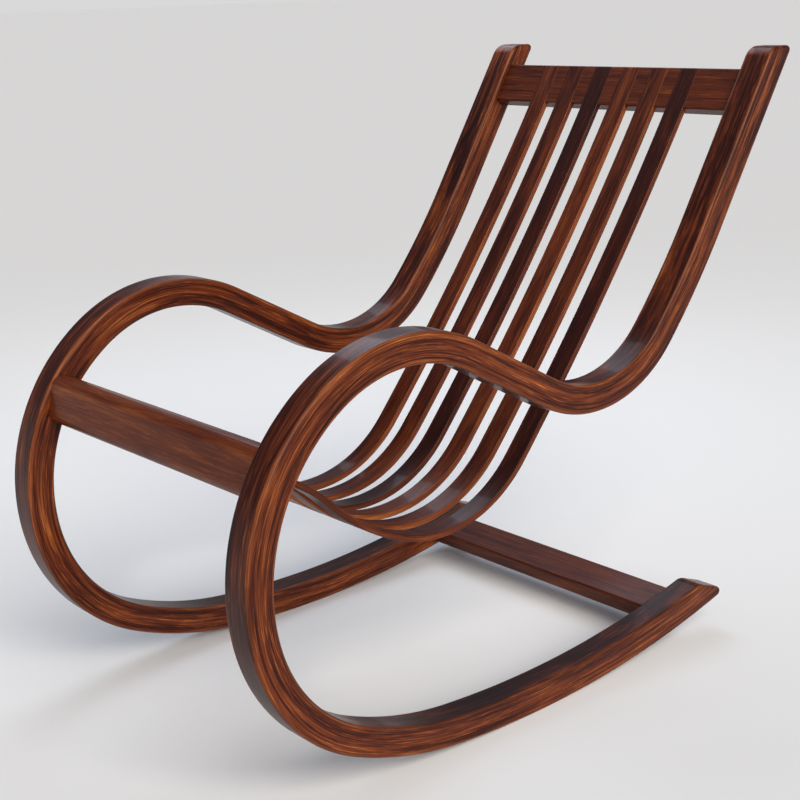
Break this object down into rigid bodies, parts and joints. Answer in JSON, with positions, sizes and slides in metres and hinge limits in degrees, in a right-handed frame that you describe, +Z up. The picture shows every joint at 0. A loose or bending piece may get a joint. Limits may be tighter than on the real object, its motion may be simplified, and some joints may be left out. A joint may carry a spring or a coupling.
{
  "type": "rocking chair",
  "caption": "Rocking chair: two bent laminated side frames run from rocker through arm to back post and carry curved slats on a crest rail and a stretcher.",
  "frame": {"origin": "on the ground at the middle of the chair's bounding box", "axes": "+X to the sitter's left, -Y the way the chair faces, +Z up; the chair stands at rest on its rockers on Z = 0"},
  "size_m": [0.62, 1.1061, 0.9557],
  "materials": {
    "frame_wood": "dark red-brown laminated wood under satin lacquer",
    "slat_wood": "dark red-brown bent wood under satin lacquer",
    "rail_wood": "dark red-brown solid wood under satin lacquer",
    "dowel_wood": "plain beech, glued",
    "screw_steel": "plain steel"
  },
  "bodies": {
    "root": {"side_frame_left": "frame_wood", "side_frame_right": "frame_wood", "crest_rail": "rail_wood", "front_stretcher": "rail_wood", "rear_stretcher": "rail_wood", "slat_1": "slat_wood", "slat_2": "slat_wood", "slat_3": "slat_wood", "slat_4": "slat_wood", "slat_5": "slat_wood", "slat_6": "slat_wood", "crest_rail_dowels_left": "dowel_wood", "crest_rail_dowels_right": "dowel_wood", "front_stretcher_dowels_left": "dowel_wood", "front_stretcher_dowels_right": "dowel_wood", "rear_stretcher_dowels_left": "dowel_wood", "rear_stretcher_dowels_right": "dowel_wood", "slat_screws": "screw_steel", "slat_screw_plugs": "rail_wood"}
  },
  "joints": []
}
